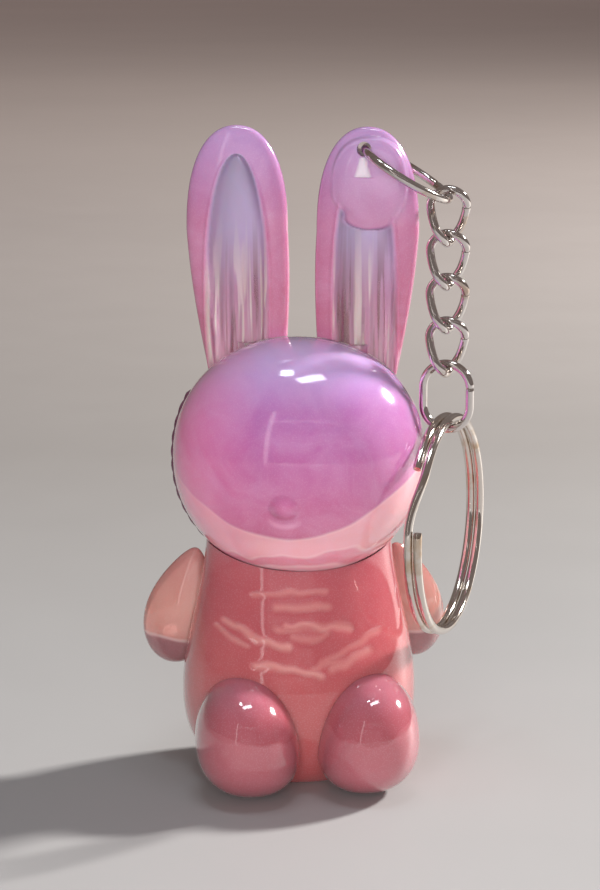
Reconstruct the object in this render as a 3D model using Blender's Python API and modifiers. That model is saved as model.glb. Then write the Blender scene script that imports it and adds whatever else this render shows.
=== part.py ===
"""Rabbit key charm: a seated translucent figure with a swivelling head, a chain and a split ring.

Metres, +Z up. The figure faces -Y and rests on z = 0, with its origin under the neck's axis.
The head, the ears and the chain are laid out in the head's own frame and turned together by
HEAD_TURN about the neck.
"""

import math

import bmesh
import bpy
from mathutils import Matrix, Vector

MM = 0.001
WELD = 0.001 * MM           # points closer than this are the same point
WELD_AXIS = 0.01 * MM       # the same, for points that meet on a turned body's axis
FIT_GAP = 0.3 * MM          # between pieces that butt on each other
CUT_SIDES = 24
CUT_REACH = 60 * MM         # half size of the boxes that split a body in two
PEG_SIDES = 16

# head: two hollow shells that meet at a beaded seam band
HEAD_TURN = math.radians(-14)
HEAD_Z = 36.2 * MM
HEAD_HALF = Vector((14.1, 12.0, 13.2)) * MM
HEAD_FULLNESS = 2.12        # 2 is an ellipsoid, more is squarer
HEAD_WALL = 1.2 * MM
HEAD_ROUND_Z = 29.0 * MM      # below here the head turns round in plan, to swivel in its dish
HEAD_ROUND_SPAN = 4.5 * MM
BAND_RADIUS = 0.55 * MM
BAND_SINK = 0.25 * MM         # how far the bead line lies below the shells' surface
BAND_SLOT = BAND_RADIUS + 0.12 * MM   # between the seam's middle plane and each shell
BEADS = 44
BEAD_NECK = 0.74              # a bead line's thin places, as a share of its radius
BAND_OPEN = math.radians(24)  # each side of the neck
NOSE_HALF = Vector((1.7, 0.8, 1.4)) * MM
NOSE_Z = HEAD_Z - 3.5 * MM

# ears: tall tongues with a scooped front
EAR_Y = 2.6 * MM
EAR_BASE_Z = 44.0 * MM
EAR_WIDE_Z = 61.0 * MM
EAR_TOP_Z = 72.6 * MM
EAR_HALF_WIDTH = 5.7 * MM
EAR_BASE_HALF_WIDTH = 4.2 * MM
EAR_HALF_THICK = 1.8 * MM
EAR_X = 7.3 * MM
EAR_BASE_X = 6.2 * MM
SCOOP_HALF = Vector((3.45, 2.45, 16.3)) * MM
SCOOP_X = 7.2 * MM
SCOOP_Z = 53.0 * MM
EAR_PEG_RADIUS = 1.1 * MM
EAR_PEG_PLACE = Vector((6.3, 2.8, 0.0)) * MM
EAR_PEG_DEPTH = 0.5 * MM      # how far the peg reaches below the ear's root
EAR_PEG_LENGTH = 4.9 * MM
EAR_TIP_RISE = 2.4            # exponents of the ear's rounded tip
EAR_TIP_ROUND = 2.2
EAR_SQUARENESS = 0.8          # 1 is an oval section, less is squarer
EAR_SIDES = 20
EAR_LEVELS = 15

# the boss and the bore in the chain's ear
BOSS_CENTRE = Vector((7.6, 2.05, 66.5)) * MM
BOSS_HALF = Vector((4.1, 1.55, 5.0)) * MM
BORE_RADIUS = 0.8 * MM
BORE = Vector((7.05, 2.45, 70.3)) * MM

# torso: a pear on a flat seat, split into two hollow shells
TORSO_HALF_WIDTH = 13.2 * MM
TORSO_TOP_HALF_WIDTH = 10.4 * MM
TORSO_WIDE_Z = 9.5 * MM
TORSO_TOP_Z = 28.0 * MM
TORSO_BOTTOM_REACH = 11.1 * MM   # from the widest level down to the rounding's own pole
TORSO_FULLNESS = 2.4
TORSO_DEPTH = 0.84            # of its width, at the widest level
TORSO_TOP_DEPTH = 0.68
TORSO_LEVELS = 15
LEVEL_CROWDING = 0.8          # below 1 puts the levels closer together near the floor
TORSO_WALL = 1.4 * MM
DISH_WALL = 1.2 * MM

# neck pin: a stem with a flange inside the torso and another inside the head
STEM_RADIUS = 2.2 * MM
STEM_HOLE = 2.5 * MM
HOLE_REACH = 5 * MM           # a cutter's length each side of the wall it goes through
FLANGE_RADIUS = 3.7 * MM
FLANGE_THICK = 1.1 * MM
FLANGE_LIFT = 1.0 * MM        # clears the curve of the head's floor

# arms and feet, each on a peg
ARM_CENTRE = Vector((13.0, 3.9, 18.2)) * MM
ARM_HALF = Vector((3.9, 2.2, 7.0)) * MM
ARM_LEAN = math.radians(15)
ARM_YAW = math.radians(20)
ARM_PEG_RADIUS = 1.1 * MM
ARM_PEG_Z = 20.5 * MM
ARM_PEG_Y = 3.3 * MM
ARM_PEG_LENGTH = 4.0 * MM
ARM_PEG_BURY = 1.2 * MM       # how far the peg starts inside the arm
ARM_NARROW = 0.32             # how much slimmer the arm gets towards its top
ARM_ROUND = 0.12
FOOT_CENTRE = Vector((6.75, -8.9, 6.5)) * MM
FOOT_HALF = Vector((5.7, 7.6, 6.6)) * MM
FOOT_SPLAY = 0.065            # outward lean, per height
FOOT_NARROW = 0.13
FOOT_FULLNESS = 2.2
FOOT_PEG_RADIUS = 1.3 * MM
FOOT_PEG_BURY = 3.0 * MM
FOOT_PEG_LENGTH = 6.5 * MM

# chain
WIRE = 0.95 * MM
LINK_PLAY = 0.15 * MM
STEP = WIRE + LINK_PLAY     # between the centres of two wires that hang on each other
HANGER_RADIUS = 5.35 * MM
HANGER_DROP = math.radians(31)
LINK_LONG = 5.95 * MM       # all along the wire's centreline
LINK_WIDE = 4.05 * MM
LINK_TWIST = math.radians(45)
LINKS = 4
END_LONG = 7.4 * MM
END_WIDE = 5.4 * MM
RING_YAW = math.radians(78)
RING_WIRE = 1.0 * MM
RING_RADIUS = 12.0 * MM
RING_COIL_GAP = 0.08 * MM
RING_PLAY = 0.2 * MM
JOGGLE_ANGLE = math.radians(205)
JOGGLE_SPAN = math.radians(34)
LINK_END_STEPS = 9          # points round each end of a link
HANGER_STEPS = 28
RING_STEPS = 74


def srgb(red, green, blue):
    """Linear colour for a colour given in 0 to 255 display values."""
    def linear(value):
        value /= 255
        return value / 12.92 if value <= 0.04045 else ((value + 0.055) / 1.055) ** 2.4
    return (linear(red), linear(green), linear(blue), 1.0)


def material(name, colour, roughness, metallic=0.0):
    mat = bpy.data.materials.new(name)
    mat.use_nodes = True
    shader = mat.node_tree.nodes["Principled BSDF"]
    shader.inputs["Base Color"].default_value = colour
    shader.inputs["Roughness"].default_value = roughness
    shader.inputs["Metallic"].default_value = metallic
    mat.diffuse_color = colour
    return mat


def add_object(name, data, collection):
    obj = bpy.data.objects.new(name, data)
    collection.objects.link(obj)
    return obj


def mesh_object(name, bm, collection):
    mesh = bpy.data.meshes.new(name)
    bmesh.ops.recalc_face_normals(bm, faces=bm.faces)
    bm.to_mesh(mesh)
    bm.free()
    return add_object(name, mesh, collection)


def bake(obj):
    """Put what the modifiers make into the object's own mesh."""
    graph = bpy.context.evaluated_depsgraph_get()
    mesh = bpy.data.meshes.new_from_object(obj.evaluated_get(graph))
    old = obj.data
    obj.modifiers.clear()
    obj.data = mesh
    bpy.data.meshes.remove(old)


def combine(target, other, operation):
    """Cut other from target or join it to it; other is used up."""
    modifier = target.modifiers.new(operation.lower(), "BOOLEAN")
    modifier.operation = operation
    modifier.solver = "EXACT"
    modifier.object = other
    bake(target)
    bpy.data.objects.remove(other)


def copy_of(obj, name, collection):
    return add_object(name, obj.data.copy(), collection)


def rounded(name, half, collection, centre=(0, 0, 0), fullness=2.0, segments=32, rings=16):
    """A sphere stretched to three half sizes; fullness above 2 makes it squarer."""
    bm = bmesh.new()
    bmesh.ops.create_uvsphere(bm, u_segments=segments, v_segments=rings, radius=1)
    for vert in bm.verts:
        size = sum(abs(part) ** fullness for part in vert.co) ** (1 / fullness)
        vert.co = Vector(part / size * reach for part, reach in zip(vert.co, half)) + Vector(centre)
    return mesh_object(name, bm, collection)


def box(name, low, high, collection):
    bm = bmesh.new()
    bmesh.ops.create_cube(bm, size=1)
    for vert in bm.verts:
        vert.co = Vector(a if part < 0 else b for part, a, b in zip(vert.co, low, high))
    return mesh_object(name, bm, collection)


def rod(name, start, end, radius, collection, sides=CUT_SIDES):
    """A straight round bar between two points."""
    start, end = Vector(start), Vector(end)
    along = end - start
    bm = bmesh.new()
    bmesh.ops.create_cone(bm, cap_ends=True, segments=sides, radius1=radius, radius2=radius,
                          depth=along.length)
    turn = along.to_track_quat("Z", "Y").to_matrix().to_4x4()
    bmesh.ops.transform(bm, matrix=Matrix.Translation((start + end) / 2) @ turn, verts=bm.verts)
    return mesh_object(name, bm, collection)


def turned(name, profile, collection, steps=32):
    """A solid turned about Z from (radius, height) points that run down its outer side."""
    bm = bmesh.new()
    verts = [bm.verts.new((radius, 0, height)) for radius, height in profile]
    for a, b in zip(verts, verts[1:]):
        bm.edges.new((a, b))
    mesh = bpy.data.meshes.new(name)
    bm.to_mesh(mesh)
    bm.free()
    obj = add_object(name, mesh, collection)
    screw = obj.modifiers.new("turn", "SCREW")
    screw.axis = "Z"
    screw.steps = steps
    screw.render_steps = steps
    screw.use_merge_vertices = True
    screw.merge_threshold = WELD_AXIS
    bake(obj)
    return obj


def wire(name, points, radius, collection, cyclic=True):
    """Round wire along a line of points, as a mesh whose ends are closed."""
    curve = bpy.data.curves.new(name, "CURVE")
    curve.dimensions = "3D"
    curve.bevel_depth = radius
    curve.bevel_resolution = 2
    curve.use_fill_caps = not cyclic
    spline = curve.splines.new("POLY")
    spline.points.add(len(points) - 1)
    for point, place in zip(spline.points, points):
        point.co = (*place, 1)
    spline.use_cyclic_u = cyclic
    bent = add_object(name + "_line", curve, collection)
    graph = bpy.context.evaluated_depsgraph_get()
    bm = bmesh.new()
    bm.from_mesh(bpy.data.meshes.new_from_object(bent.evaluated_get(graph)))
    bmesh.ops.remove_doubles(bm, verts=bm.verts, dist=WELD)
    bpy.data.objects.remove(bent)
    return mesh_object(name, bm, collection)


def smooth(obj, angle=40):
    obj.data.shade_smooth()
    obj.data.set_sharp_from_angle(angle=math.radians(angle))


def yaw_direction(angle):
    return Vector((math.cos(angle), math.sin(angle), 0))


def halves(shell, names, half_gap, collection):
    """Split a hollow body into its front and back pieces, half_gap each side of y = 0."""
    back = copy_of(shell, names[1], collection)
    shell.name = names[0]
    low = (-CUT_REACH, -CUT_REACH, -CUT_REACH)
    high = (CUT_REACH, CUT_REACH, 2 * CUT_REACH)
    combine(shell, box("cut_front", (low[0], -half_gap, low[2]), high, collection), "DIFFERENCE")
    combine(back, box("cut_back", low, (high[0], half_gap, high[2]), collection), "DIFFERENCE")
    return shell, back


# --- torso ---------------------------------------------------------------------------------

def torso_radius(height):
    """Half width of the torso at a height."""
    if height < TORSO_WIDE_Z:
        drop = (TORSO_WIDE_Z - height) / TORSO_BOTTOM_REACH
        return TORSO_HALF_WIDTH * (1 - drop ** TORSO_FULLNESS) ** (1 / TORSO_FULLNESS)
    rise = min((height - TORSO_WIDE_Z) / (TORSO_TOP_Z - TORSO_WIDE_Z), 1)
    taper = rise * rise * (3 - 2 * rise)
    return TORSO_HALF_WIDTH + (TORSO_TOP_HALF_WIDTH - TORSO_HALF_WIDTH) * taper


def torso_depth(height):
    """The torso's depth as a share of its width."""
    rise = min(max(height - TORSO_WIDE_Z, 0) / (TORSO_TOP_Z - TORSO_WIDE_Z), 1)
    return TORSO_DEPTH + (TORSO_TOP_DEPTH - TORSO_DEPTH) * rise * rise * (3 - 2 * rise)


def torso_solid(name, shrink, collection):
    """The torso's outer body, or one that is smaller by shrink all round."""
    top, bottom = TORSO_TOP_Z, shrink
    heights = [top + (bottom - top) * (i / TORSO_LEVELS) ** LEVEL_CROWDING
               for i in range(TORSO_LEVELS + 1)]
    profile = [(0, top)]
    profile += [(torso_radius(z) - shrink, z) for z in heights]
    profile += [(0, bottom)]
    body = turned(name, profile, collection)
    for vert in body.data.vertices:
        wide = torso_radius(vert.co.z)
        vert.co.y *= (wide * torso_depth(vert.co.z) - shrink) / (wide - shrink)
    return body


def head_clearance(name, extra, collection):
    """The space that the turning head sweeps, grown by extra."""
    widest = HEAD_HALF.x
    half = Vector((widest, widest, HEAD_HALF.z)) + Vector((extra, extra, extra))
    return rounded(name, half, collection, (0, 0, HEAD_Z), HEAD_FULLNESS)


def make_torso(parts, cutters):
    shell = torso_solid("torso_shell", 0, parts)
    combine(shell, head_clearance("dish", FIT_GAP, cutters), "DIFFERENCE")
    cavity = torso_solid("torso_cavity", TORSO_WALL, cutters)
    combine(cavity, head_clearance("dish", FIT_GAP + DISH_WALL, cutters), "DIFFERENCE")
    combine(shell, cavity, "DIFFERENCE")
    below = (0, 0, HEAD_Z - HEAD_HALF.z - HOLE_REACH)
    neck = rod("neck_hole", below, (0, 0, HEAD_Z), STEM_HOLE, cutters)
    combine(shell, neck, "DIFFERENCE")
    return halves(shell, ("torso_front_shell", "torso_back_shell"), FIT_GAP / 2, parts)


def make_neck_pin(parts):
    head_floor = HEAD_Z - HEAD_HALF.z + HEAD_WALL
    dish_floor = HEAD_Z - HEAD_HALF.z - FIT_GAP - DISH_WALL
    top = head_floor + FLANGE_LIFT + FLANGE_THICK
    bottom = dish_floor - FIT_GAP - FLANGE_THICK
    profile = [
        (0, top),
        (FLANGE_RADIUS - FIT_GAP, top),
        (FLANGE_RADIUS, top - FIT_GAP),
        (FLANGE_RADIUS, top - FLANGE_THICK),
        (STEM_RADIUS, top - FLANGE_THICK),
        (STEM_RADIUS, bottom + FLANGE_THICK),
        (FLANGE_RADIUS, bottom + FLANGE_THICK),
        (FLANGE_RADIUS, bottom),
        (0, bottom),
    ]
    return turned("neck_pin", profile, parts, steps=24)


# --- head ----------------------------------------------------------------------------------

def head_solid(name, grow, collection, segments=32, rings=16):
    """The head's body, grown by grow all round. Its underside is round in plan."""
    half = HEAD_HALF + Vector((grow, grow, grow))
    body = rounded(name, half, collection, (0, 0, HEAD_Z), HEAD_FULLNESS, segments, rings)
    for vert in body.data.vertices:
        drop = min(max((HEAD_ROUND_Z - vert.co.z) / HEAD_ROUND_SPAN, 0), 1)
        vert.co.y *= 1 + (half.x / half.y - 1) * drop * drop * (3 - 2 * drop)
    return body


def make_head(parts, cutters):
    shell = head_solid("head_shell", 0, parts, 40, 20)
    cavity = head_solid("head_cavity", -HEAD_WALL, cutters)
    combine(shell, cavity, "DIFFERENCE")
    floor = HEAD_Z - HEAD_HALF.z
    below, above = (0, 0, floor - HOLE_REACH), (0, 0, floor + HOLE_REACH)
    neck = rod("neck_hole", below, above, STEM_HOLE, cutters)
    combine(shell, neck, "DIFFERENCE")
    front, back = halves(shell, ("head_front_shell", "head_back_shell"), BAND_SLOT, parts)
    nose_y = -head_depth(0, NOSE_Z)
    nose = rounded("nose", NOSE_HALF, cutters, (0, nose_y, NOSE_Z), segments=16, rings=10)
    combine(front, nose, "UNION")
    for side in (-1, 1):
        place = Vector((side * EAR_PEG_PLACE.x, EAR_PEG_PLACE.y, HEAD_Z))
        top = place + Vector((0, 0, 2 * HEAD_HALF.z))
        hole = rod("ear_hole", place, top, EAR_PEG_RADIUS + FIT_GAP, cutters)
        combine(back, hole, "DIFFERENCE")
    return front, back


def head_depth(x, z):
    """How far the head's surface reaches along y from its middle plane at a place."""
    used = abs(x / HEAD_HALF.x) ** HEAD_FULLNESS + abs((z - HEAD_Z) / HEAD_HALF.z) ** HEAD_FULLNESS
    return HEAD_HALF.y * max(1 - used, 0) ** (1 / HEAD_FULLNESS)


def make_seam_band(parts):
    """A line of beads in the slot between the head's shells, open at the neck."""
    points, radii = [], []
    turns = 2 * math.pi - 2 * BAND_OPEN
    steps = BEADS * 2           # each bead has a thick place and a thin one
    for i in range(steps + 1):
        angle = -math.pi / 2 + BAND_OPEN + turns * i / steps
        c, s = math.cos(angle), math.sin(angle)
        reach = (abs(c) ** HEAD_FULLNESS + abs(s) ** HEAD_FULLNESS) ** (-1 / HEAD_FULLNESS)
        points.append(((HEAD_HALF.x - BAND_SINK) * c * reach, 0,
                       HEAD_Z + (HEAD_HALF.z - BAND_SINK) * s * reach))
        radii.append(1.0 if i % 2 else BEAD_NECK)
    curve = bpy.data.curves.new("head_seam_band", "CURVE")
    curve.dimensions = "3D"
    curve.bevel_depth = BAND_RADIUS
    curve.bevel_resolution = 1
    curve.use_fill_caps = True
    spline = curve.splines.new("POLY")
    spline.points.add(len(points) - 1)
    for point, place, radius in zip(spline.points, points, radii):
        point.co = (*place, 1)
        point.radius = radius
    band = add_object("head_seam_band", curve, parts)
    return band


# --- ears ----------------------------------------------------------------------------------

def ear_section(height):
    """Centre x, half width and half thickness of an ear at a height."""
    rise = (height - EAR_BASE_Z) / (EAR_WIDE_Z - EAR_BASE_Z)
    centre = EAR_BASE_X + (EAR_X - EAR_BASE_X) * min(rise, 1)
    if height < EAR_WIDE_Z:
        grow = math.sin(rise * math.pi / 2)
        half = EAR_BASE_HALF_WIDTH + (EAR_HALF_WIDTH - EAR_BASE_HALF_WIDTH) * grow
    else:
        up = (height - EAR_WIDE_Z) / (EAR_TOP_Z - EAR_WIDE_Z)
        half = EAR_HALF_WIDTH * max(1 - up ** EAR_TIP_RISE, 0) ** (1 / EAR_TIP_ROUND)
    return centre, half, EAR_HALF_THICK * (half / EAR_HALF_WIDTH) ** EAR_SQUARENESS


def ear_body(name, side, collection):
    """A loft of flattened ovals from the root of the ear up to its tip."""
    bm = bmesh.new()
    loops = []
    for level in range(EAR_LEVELS):
        part = math.sin(level / EAR_LEVELS * math.pi / 2)
        height = EAR_BASE_Z + (EAR_TOP_Z - EAR_BASE_Z) * part
        centre, half, thick = ear_section(height)
        loop = []
        for i in range(EAR_SIDES):
            angle = 2 * math.pi * i / EAR_SIDES
            c, s = math.cos(angle), math.sin(angle)
            x = side * centre + half * math.copysign(abs(c) ** EAR_SQUARENESS, c)
            y = EAR_Y + thick * math.copysign(abs(s) ** EAR_SQUARENESS, s)
            loop.append(bm.verts.new((x, y, height)))
        loops.append(loop)
    tip = bm.verts.new((side * EAR_X, EAR_Y, EAR_TOP_Z))
    for lower, upper in zip(loops, loops[1:]):
        for i in range(EAR_SIDES):
            j = (i + 1) % EAR_SIDES
            bm.faces.new((lower[i], lower[j], upper[j], upper[i]))
    for i in range(EAR_SIDES):
        bm.faces.new((loops[-1][i], loops[-1][(i + 1) % EAR_SIDES], tip))
    bm.faces.new(list(reversed(loops[0])))
    return mesh_object(name, bm, collection)


def make_ear(name, side, parts, cutters):
    ear = ear_body(name, side, parts)
    scoop_place = (side * SCOOP_X, EAR_Y - EAR_HALF_THICK, SCOOP_Z)
    scoop = rounded("scoop", SCOOP_HALF, cutters, scoop_place, segments=20, rings=20)
    combine(ear, scoop, "DIFFERENCE")
    if side > 0:
        boss = rounded("boss", BOSS_HALF, cutters, BOSS_CENTRE, segments=24, rings=12)
        combine(ear, boss, "UNION")
        reach = Vector((0, HOLE_REACH, 0))
        combine(ear, rod("bore", BORE - reach, BORE + reach, BORE_RADIUS, cutters), "DIFFERENCE")
    combine(ear, head_solid("ear_seat", FIT_GAP, cutters, 40, 20), "DIFFERENCE")
    foot = Vector((side * EAR_PEG_PLACE.x, EAR_PEG_PLACE.y, EAR_BASE_Z - EAR_PEG_DEPTH))
    top = foot + Vector((0, 0, EAR_PEG_LENGTH))
    peg = rod("ear_peg", foot, top, EAR_PEG_RADIUS, cutters, PEG_SIDES)
    combine(ear, peg, "UNION")
    return ear


# --- arms and feet -------------------------------------------------------------------------

def make_arm(name, side, parts, cutters):
    """A drop-shaped flipper that leans outwards and trails back."""
    arm = rounded(name, Vector((1, 1, 1)), parts, segments=20, rings=14)
    turn = Matrix.Rotation(side * ARM_YAW, 4, "Z") @ Matrix.Rotation(side * -ARM_LEAN, 4, "Y")
    place = Matrix.Translation((side * ARM_CENTRE.x, ARM_CENTRE.y, ARM_CENTRE.z)) @ turn
    for vert in arm.data.vertices:
        narrow = 1 - ARM_NARROW * vert.co.z - ARM_ROUND * vert.co.z ** 2
        drop = Vector((vert.co.x * ARM_HALF.x * narrow, vert.co.y * ARM_HALF.y * narrow,
                       vert.co.z * ARM_HALF.z))
        vert.co = place @ drop
    combine(arm, torso_solid("arm_seat", -FIT_GAP, cutters), "DIFFERENCE")
    combine(arm, head_clearance("arm_dish", FIT_GAP, cutters), "DIFFERENCE")
    outer = Vector((side * (torso_radius(ARM_PEG_Z) + ARM_PEG_BURY), ARM_PEG_Y, ARM_PEG_Z))
    inner = outer - Vector((side * ARM_PEG_LENGTH, 0, 0))
    combine(arm, rod("arm_peg", inner, outer, ARM_PEG_RADIUS, cutters, PEG_SIDES), "UNION")
    return arm, (inner, outer)


def make_foot(name, side, parts, cutters):
    """An egg that points forwards, wider below, with a flat patch to stand on."""
    foot = rounded(name, Vector((1, 1, 1)), parts, fullness=FOOT_FULLNESS, segments=24, rings=16)
    for vert in foot.data.vertices:
        narrow = 1 - FOOT_NARROW * vert.co.z
        x = vert.co.x * FOOT_HALF.x * narrow + FOOT_SPLAY * vert.co.z * FOOT_HALF.z
        height = FOOT_CENTRE.z + vert.co.z * FOOT_HALF.z
        vert.co = (side * (FOOT_CENTRE.x + x), FOOT_CENTRE.y + vert.co.y * FOOT_HALF.y,
                   max(height, 0))
    if side < 0:
        foot.data.flip_normals()
    combine(foot, torso_solid("foot_seat", -FIT_GAP, cutters), "DIFFERENCE")
    front = Vector((side * FOOT_CENTRE.x, FOOT_CENTRE.y - FOOT_PEG_BURY, FOOT_CENTRE.z))
    back = front + Vector((0, FOOT_PEG_LENGTH, 0))
    combine(foot, rod("foot_peg", front, back, FOOT_PEG_RADIUS, cutters, PEG_SIDES), "UNION")
    return foot, (front, back)


def cut_peg_hole(shell, ends, radius, cutters):
    combine(shell, rod("peg_hole", *ends, radius + FIT_GAP, cutters), "DIFFERENCE")


# --- chain ---------------------------------------------------------------------------------

def oval(long, wide, twist, middle_yaw):
    """Centreline of a link about its own middle, twisted by twist each way from the middle."""
    end = wide / 2
    straight = long / 2 - end
    flat = [(end * math.cos(a), straight + end * math.sin(a))
            for a in (math.pi * i / (LINK_END_STEPS - 1) for i in range(LINK_END_STEPS))]
    flat += [(-end, 0)]
    flat += [(-x, -z) for x, z in flat[:LINK_END_STEPS]]
    flat += [(end, 0)]
    points = []
    for x, z in flat:
        yaw = middle_yaw - twist * z / (long / 2)
        points.append(Vector((x * math.cos(yaw), x * math.sin(yaw), z)))
    return points


def make_hanger(parts):
    """The ring through the ear: it leaves the bore along y and drops outwards."""
    out = Vector((math.cos(HANGER_DROP), 0, -math.sin(HANGER_DROP)))
    points = []
    for i in range(HANGER_STEPS):
        angle = 2 * math.pi * i / HANGER_STEPS
        points.append(out * HANGER_RADIUS * (1 - math.cos(angle))
                      + Vector((0, HANGER_RADIUS * math.sin(angle), 0)))
    ring = wire("hanger_ring", points, WIRE / 2, parts)
    ring.location = BORE
    return ring, BORE + out * 2 * HANGER_RADIUS


def make_chain(parts, start):
    """The links hang one below the other; each one's origin is on the wire that it hangs from."""
    pieces = []
    hold = start.copy()
    middle_yaw = RING_YAW - LINK_TWIST
    for number in range(LINKS):
        drop = Vector((0, 0, STEP - LINK_LONG / 2))
        points = [p + drop for p in oval(LINK_LONG, LINK_WIDE, LINK_TWIST, middle_yaw)]
        link = wire(f"chain_link_{number + 1}", points, WIRE / 2, parts)
        link.location = hold
        pieces.append(link)
        hold = hold + Vector((0, 0, STEP - LINK_LONG))
    drop = Vector((0, 0, STEP - END_LONG / 2))
    points = [p + drop for p in oval(END_LONG, END_WIDE, 0, RING_YAW - math.pi / 2)]
    end = wire("end_jump_ring", points, WIRE / 2, parts)
    end.location = hold
    hold = hold + Vector((0, 0, STEP - END_LONG))
    return pieces, end, hold


def make_split_ring(parts, hold):
    """Two turns of wire side by side; the wire changes sides at the joggle."""
    across = yaw_direction(RING_YAW)
    normal = yaw_direction(RING_YAW - math.pi / 2)
    centre = Vector((0, 0, WIRE / 2 + RING_PLAY + RING_WIRE / 2 - RING_RADIUS))
    side = (RING_WIRE + RING_COIL_GAP) / 2
    turns = 4 * math.pi - JOGGLE_SPAN
    points = []
    for i in range(RING_STEPS + 1):
        travelled = turns * i / RING_STEPS
        angle = JOGGLE_ANGLE + JOGGLE_SPAN / 2 + travelled
        change = (travelled - (2 * math.pi - JOGGLE_SPAN)) / JOGGLE_SPAN
        change = min(max(change, 0), 1)
        offset = side * (2 * change * change * (3 - 2 * change) - 1)
        points.append(centre + across * RING_RADIUS * math.cos(angle)
                      + Vector((0, 0, -RING_RADIUS * math.sin(angle))) + normal * offset)
    ring = wire("split_ring", points, RING_WIRE / 2, parts, cyclic=False)
    ring.location = hold
    return ring


# --- assembly ------------------------------------------------------------------------------

def main():
    for obj in list(bpy.data.objects):
        bpy.data.objects.remove(obj)
    scene = bpy.context.scene
    parts = bpy.data.collections.new("rabbit_key_charm")
    cutters = bpy.data.collections.new("cutters")
    scene.collection.children.link(parts)
    scene.collection.children.link(cutters)

    lilac = material("lilac_plastic", srgb(190, 140, 190), 0.12)
    magenta = material("magenta_plastic", srgb(196, 124, 171), 0.1)
    coral = material("coral_plastic", srgb(186, 102, 112), 0.12)
    rose = material("rose_plastic", srgb(180, 112, 124), 0.12)
    clear_rose = material("clear_rose_plastic", srgb(205, 155, 152), 0.12)
    bead = material("bead_trim", srgb(120, 70, 95), 0.2)
    white = material("pin_plastic", srgb(215, 205, 205), 0.35)
    chrome = material("chrome_wire", srgb(205, 200, 198), 0.12, 1.0)

    torso_front, torso_back = make_torso(parts, cutters)
    neck = make_neck_pin(parts)
    limbs = []
    for side, word in ((-1, "left"), (1, "right")):
        arm, arm_ends = make_arm(f"arm_{word}", side, parts, cutters)
        foot, foot_ends = make_foot(f"foot_{word}", side, parts, cutters)
        cut_peg_hole(torso_back, arm_ends, ARM_PEG_RADIUS, cutters)
        cut_peg_hole(torso_front, foot_ends, FOOT_PEG_RADIUS, cutters)
        limbs += [(arm, clear_rose), (foot, rose)]
    painted = [(torso_front, coral), (torso_back, coral), (neck, white)] + limbs

    head_front, head_back = make_head(parts, cutters)
    band = make_seam_band(parts)
    ears = [make_ear(f"ear_{word}", side, parts, cutters)
            for side, word in ((-1, "left"), (1, "right"))]
    hanger, start = make_hanger(parts)
    links, end, hold = make_chain(parts, start)
    ring = make_split_ring(parts, hold)

    neck_axis = add_object("head_turn_axis", None, scene.collection)
    neck_axis.rotation_euler = (0, 0, HEAD_TURN)
    head_side = [head_front, head_back, band] + ears + [hanger] + links + [end, ring]
    for obj in head_side:
        obj.parent = neck_axis
    painted += [(head_front, magenta), (head_back, magenta), (band, bead)]
    painted += [(ear, lilac) for ear in ears]
    painted += [(obj, chrome) for obj in [hanger] + links + [end, ring]]

    for obj, mat in painted:
        obj.data.materials.clear()
        obj.data.materials.append(mat)
        if obj.type == "MESH":
            smooth(obj)


main()
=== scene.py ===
"""Looks of the rabbit key charm: smooth translucent skins, a beaded seam and bright wire.

Metres, +Z up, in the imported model's frame. The head's pieces are worked out facing -Y and then
turned with the head; every piece stands for the CAD node of the same place and rides on its body.
"""

import math
import random

import bmesh
import bpy
import numpy as np
from mathutils import Matrix, Vector, noise


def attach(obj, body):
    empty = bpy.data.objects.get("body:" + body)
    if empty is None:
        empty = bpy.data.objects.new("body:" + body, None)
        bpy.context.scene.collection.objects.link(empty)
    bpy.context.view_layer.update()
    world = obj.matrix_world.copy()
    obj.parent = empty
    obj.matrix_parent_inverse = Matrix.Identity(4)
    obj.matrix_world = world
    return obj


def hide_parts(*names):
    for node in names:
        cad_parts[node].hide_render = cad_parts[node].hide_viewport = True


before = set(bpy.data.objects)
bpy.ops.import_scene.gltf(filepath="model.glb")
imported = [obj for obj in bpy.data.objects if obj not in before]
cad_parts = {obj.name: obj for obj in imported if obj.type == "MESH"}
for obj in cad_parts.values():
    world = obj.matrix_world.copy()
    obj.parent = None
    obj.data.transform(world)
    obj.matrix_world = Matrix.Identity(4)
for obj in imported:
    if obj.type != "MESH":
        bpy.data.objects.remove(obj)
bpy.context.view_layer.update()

MM = 0.001
TINY = 1e-9
WELD = 1e-6                       # points closer than this are the same point
CAMERA_SENSOR = 36
SHADE_SHARP = math.radians(60)    # edges sharper than this stay sharp
SOFT_EDGE = 0.12 * MM
HEAD_TURN = math.radians(-14)

# head
HEAD_CENTRE = np.array((0.0, 0.0, 36.2)) * MM
HEAD_HALF = np.array((14.1, 12.0, 13.2)) * MM
HEAD_FULLNESS = 2.12
HEAD_WALL = 1.2 * MM
HEAD_SOFT_EDGE = 0.18 * MM
HEAD_ROUND_Z = 29.0 * MM          # below here the head turns round in plan
HEAD_ROUND_SPAN = 4.5 * MM
BAND_SLOT = 0.6 * MM
BAND_SINK = 0.22 * MM
BEAD_RADIUS = 0.52 * MM
BEADS = 44
BAND_OPEN = math.radians(24)
BEADED_SIDE = math.radians(190)   # where round the seam the beads stand proud
BEADED_REACH = math.radians(50)
SEAM_BOW = 1.7 * MM               # how far the seam bows forwards there
NOSE_HALF = np.array((1.7, 0.8, 1.4)) * MM
NOSE_DROP = 3.5 * MM

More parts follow.
